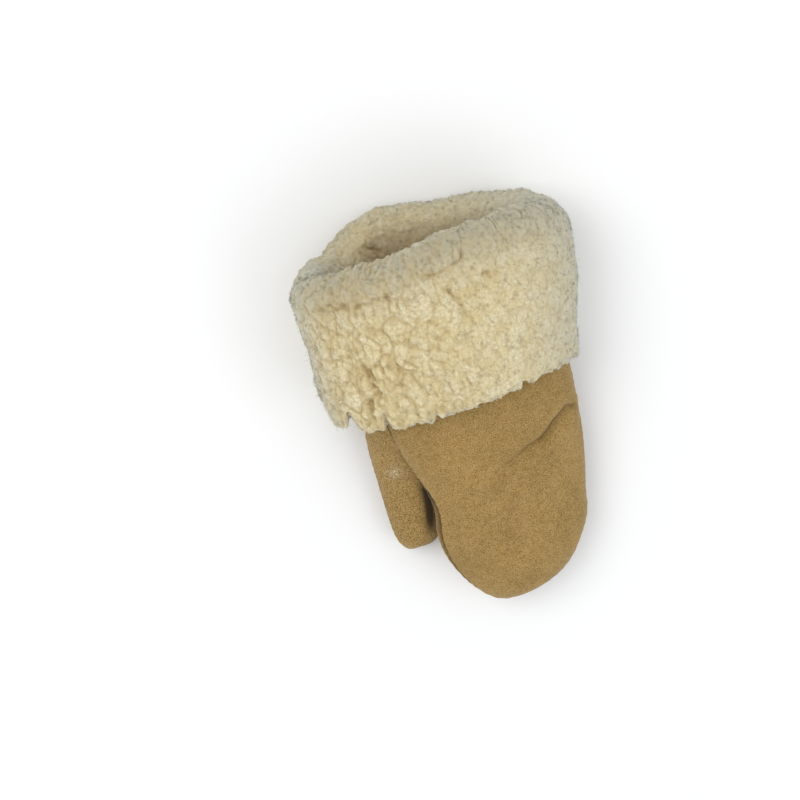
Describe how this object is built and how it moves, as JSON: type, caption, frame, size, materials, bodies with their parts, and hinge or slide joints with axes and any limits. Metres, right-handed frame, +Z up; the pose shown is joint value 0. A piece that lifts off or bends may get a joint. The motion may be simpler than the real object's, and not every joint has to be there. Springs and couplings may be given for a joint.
{
  "type": "sheepskin mitten with turned-back cuff",
  "caption": "Left-hand sheepskin mitten lying palm down: tan suede outside, curly cream wool inside, the wide cuff turned back so that its wool shows.",
  "frame": {"origin": "on the ground, under the middle of the mitten's bounding box", "axes": "+Y from the fingertips to the mouth of the cuff, +Z up through the back of the hand, the thumb on the -X side"},
  "size_m": [0.1718, 0.2598, 0.0929],
  "materials": {
    "suede_back": "matt tan suede, slightly darker in the folds",
    "suede_palm": "matt tan suede",
    "suede_thumb": "matt tan suede, a little greyer than the back",
    "lining_wool": "short curly wool",
    "cuff_wool": "curly cream sheep's wool"
  },
  "bodies": {
    "root": {"back_panel": "suede_back", "palm_panel": "suede_palm", "thumb_outer": "suede_thumb", "thumb_inner": "suede_thumb", "hand_lining": "lining_wool", "back_cuff_fleece": "cuff_wool", "palm_cuff_fleece": "cuff_wool"}
  },
  "joints": []
}
